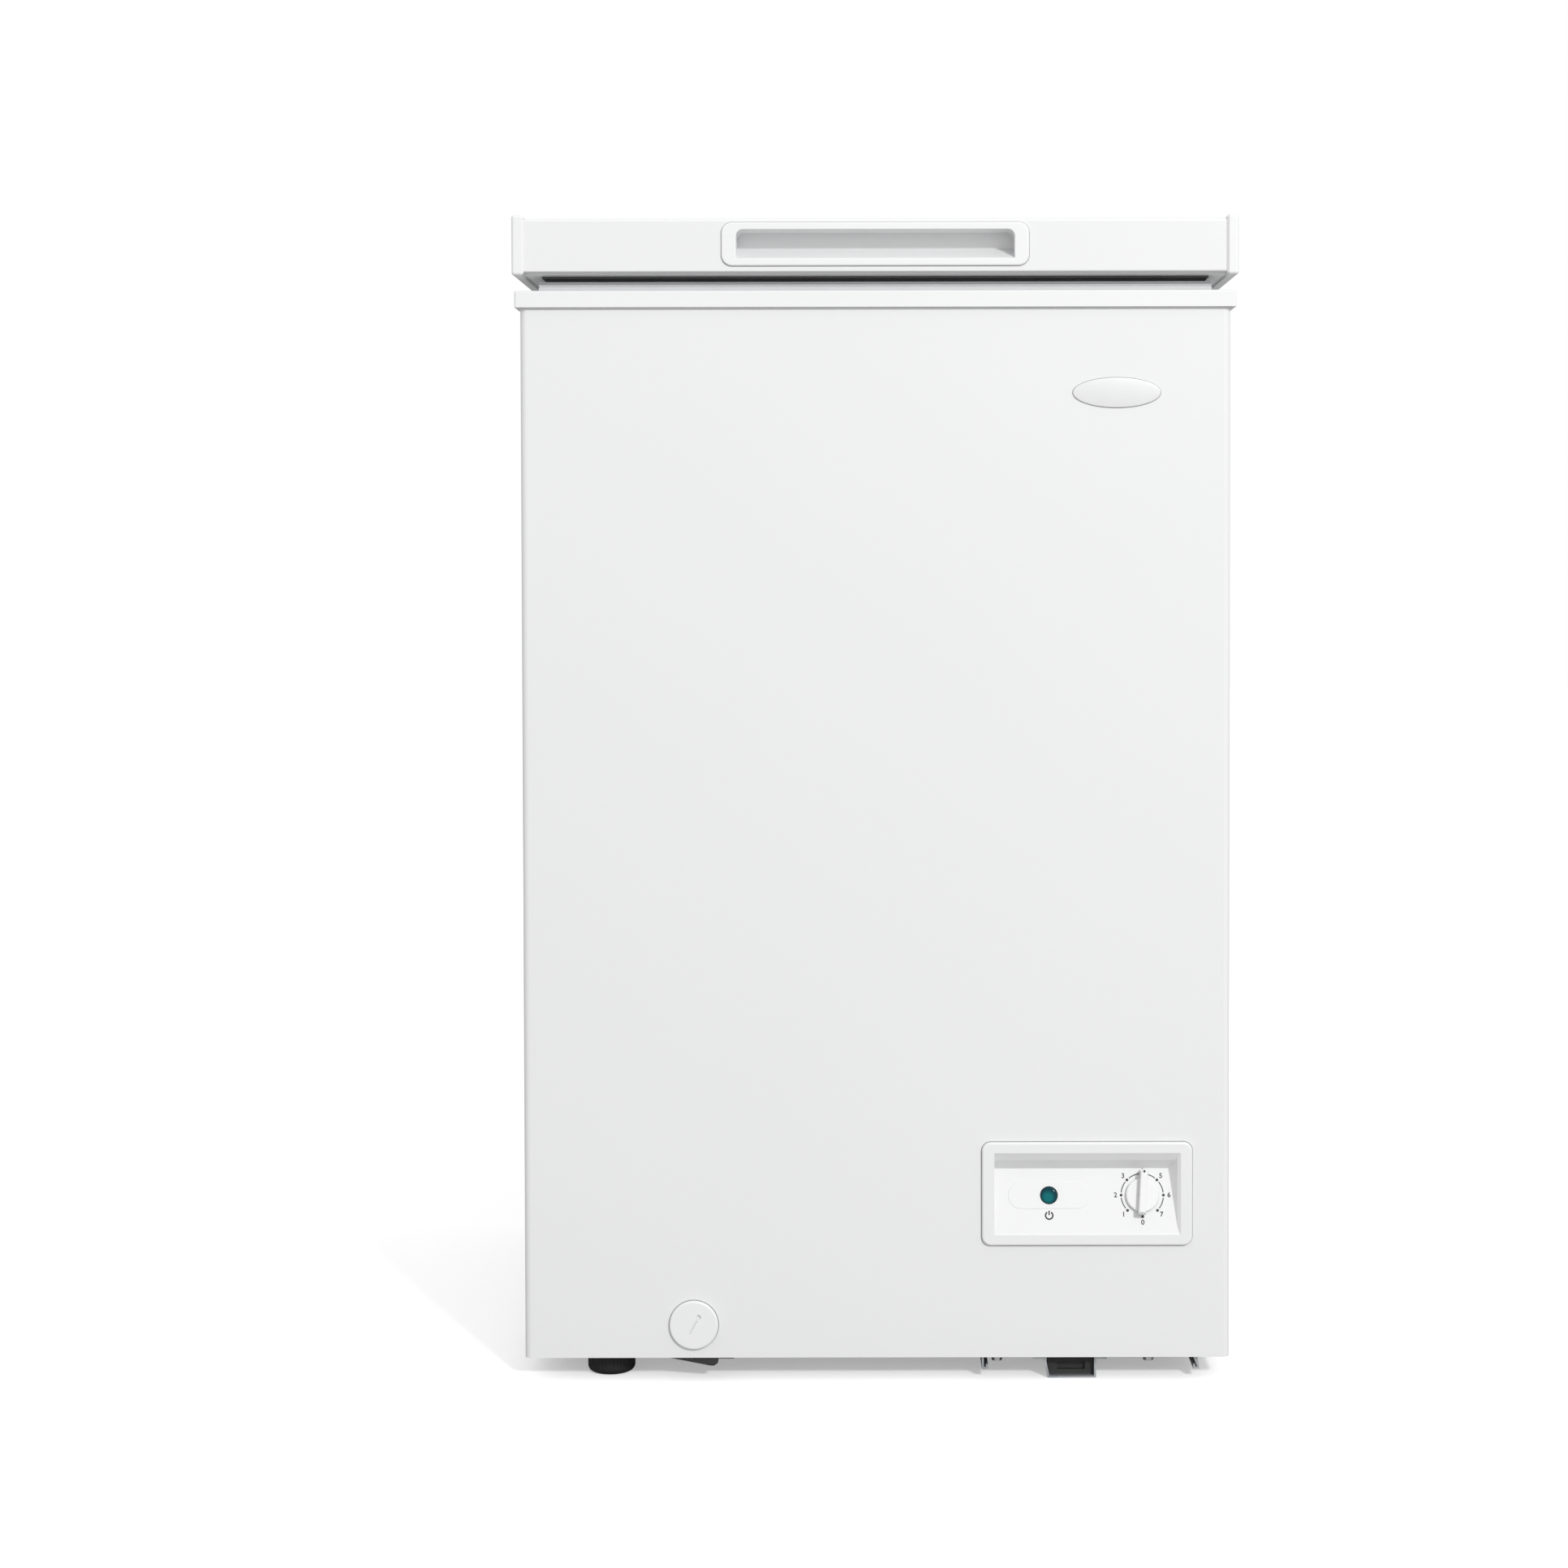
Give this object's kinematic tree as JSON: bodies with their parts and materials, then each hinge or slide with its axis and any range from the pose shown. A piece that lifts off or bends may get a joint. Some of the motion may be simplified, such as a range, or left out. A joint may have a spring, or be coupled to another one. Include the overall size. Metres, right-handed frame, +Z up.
{
  "type": "chest freezer",
  "caption": "Small upright-sided white chest freezer with a hinged insulated lid, recessed handle, front dial, drain outlet, hanging basket and a compressor step inside.",
  "frame": {"origin": "middle of the footprint, on the floor", "axes": "+Z up, -Y front (the side with the dial, badge and handle), +X to the right seen from the front"},
  "size_m": [0.525, 0.525, 0.85],
  "materials": {
    "white_steel": "gloss enamel",
    "grey_steel": "satin coated",
    "galvanised": "galvanised",
    "hinge_steel": "zinc plated",
    "white_plastic": "smooth",
    "seal": "soft matt",
    "silver_badge": "satin",
    "liner_aluminium": "embossed",
    "foam": "foamed",
    "black_plastic": "matt",
    "nylon": "matt",
    "black_rubber": "matt",
    "lamp": "moulded",
    "black_steel": "semi-gloss",
    "copper": "drawn",
    "condenser_steel": "drawn",
    "basket_wire": "vinyl coated"
  },
  "bodies": {
    "cabinet": {"back_panel": "grey_steel", "badge": "silver_badge", "base_plate": "galvanised", "base_plate_bolts": "galvanised", "bottom_panel": "galvanised", "cabinet_insulation": "foam", "cabinet_wrapper": "white_steel", "capillary_tube": "copper", "compressor": "black_steel", "compressor_bolts": "hinge_steel", "compressor_grommets": "black_rubber", "compressor_lines": "copper", "condenser_coil": "condenser_steel", "control_bezel": "white_plastic", "cord_gland": "black_plastic", "drain_pipe": "white_plastic", "drain_socket": "white_plastic", "evaporator_coil": "copper", "filter_drier": "copper", "foot_nuts": "galvanised", "hinge_base_left": "hinge_steel", "hinge_base_right": "hinge_steel", "hinge_base_screws": "hinge_steel", "hinge_pins": "hinge_steel", "hinge_spring_left": "hinge_steel", "hinge_spring_right": "hinge_steel", "inner_liner": "liner_aluminium", "pilot_lamp_holder": "black_plastic", "pilot_lamp_lens": "lamp", "rear_cover_screws": "hinge_steel", "rear_vent_cover": "grey_steel", "relay_cover": "black_plastic", "support_blocks": "black_rubber", "support_bracket_front": "galvanised", "support_bracket_rear": "galvanised", "thermostat_body": "nylon", "thermostat_sensor_tube": "copper", "top_collar": "white_plastic", "underside_clip": "black_steel", "wiring_harness": "black_rubber"},
    "lid": {"lid_outer_panel": "white_steel", "lid_end_cap_left": "white_plastic", "lid_end_cap_right": "white_plastic", "lid_insulation": "foam", "lid_inner_liner": "white_plastic", "lid_gasket": "seal", "lid_handle": "white_plastic", "hinge_arm_left": "hinge_steel", "hinge_arm_right": "hinge_steel", "hinge_arm_screws": "hinge_steel"},
    "plunger_left": {"hinge_plunger_left": "nylon"},
    "plunger_right": {"hinge_plunger_right": "nylon"},
    "thermostat_dial": {"thermostat_knob": "white_plastic", "thermostat_shaft": "nylon"},
    "basket": {"wire_basket": "basket_wire"},
    "drain_spout": {"drain_spout": "white_plastic"},
    "drain_cap": {"drain_cap": "white_plastic"},
    "drain_plug": {"drain_plug": "white_plastic"},
    "foot_front": {"levelling_foot_front": "black_plastic"},
    "foot_rear": {"levelling_foot_rear": "black_plastic"}
  },
  "joints": [
    {"name": "lid_hinge", "type": "hinge", "parent": "cabinet", "child": "lid", "pos_m": [0, 0.251, 0.798], "axis": [-1, 0, 0], "range_deg": [0, 80]},
    {"name": "plunger_left_slide", "type": "slide", "parent": "cabinet", "child": "plunger_left", "axis": [0, 0, 1], "range_m": [0, 0.0047], "deforming": ["hinge_spring_left"]},
    {"name": "plunger_right_slide", "type": "slide", "parent": "cabinet", "child": "plunger_right", "axis": [0, 0, 1], "range_m": [0, 0.0047], "deforming": ["hinge_spring_right"]},
    {"name": "thermostat_turn", "type": "hinge", "parent": "cabinet", "child": "thermostat_dial", "pos_m": [0.1945, -0.24852, 0.1352], "axis": [0, -0.9703, 0.2418], "range_deg": [-135, 180]},
    {"name": "basket_slide", "type": "slide", "parent": "cabinet", "child": "basket", "axis": [1, 0, 0], "range_m": [0, 0.185]},
    {"name": "drain_spout_pull", "type": "slide", "parent": "cabinet", "child": "drain_spout", "axis": [0, -1, 0], "range_m": [0, 0.03]},
    {"name": "drain_cap_turn", "type": "hinge", "parent": "drain_spout", "child": "drain_cap", "pos_m": [-0.1341, -0.253, 0.0414], "axis": [0, -1, 0], "range_deg": [0, 90]},
    {"name": "drain_plug_lift", "type": "slide", "parent": "cabinet", "child": "drain_plug", "axis": [0, 0, 1], "range_m": [0, 0.04]},
    {"name": "front_foot_screw", "type": "hinge", "parent": "cabinet", "child": "foot_front", "pos_m": [-0.1972, -0.223, 0], "axis": [0, 0, 1], "range_deg": [-180, 180]},
    {"name": "rear_foot_screw", "type": "hinge", "parent": "cabinet", "child": "foot_rear", "pos_m": [-0.1972, 0.205, 0], "axis": [0, 0, 1], "range_deg": [-180, 180]}
  ],
  "couplings": [
    {"joint": "plunger_left_slide", "follows": "lid_hinge", "m_per_rad": 0.0033146},
    {"joint": "plunger_right_slide", "follows": "lid_hinge", "m_per_rad": 0.0033146}
  ]
}
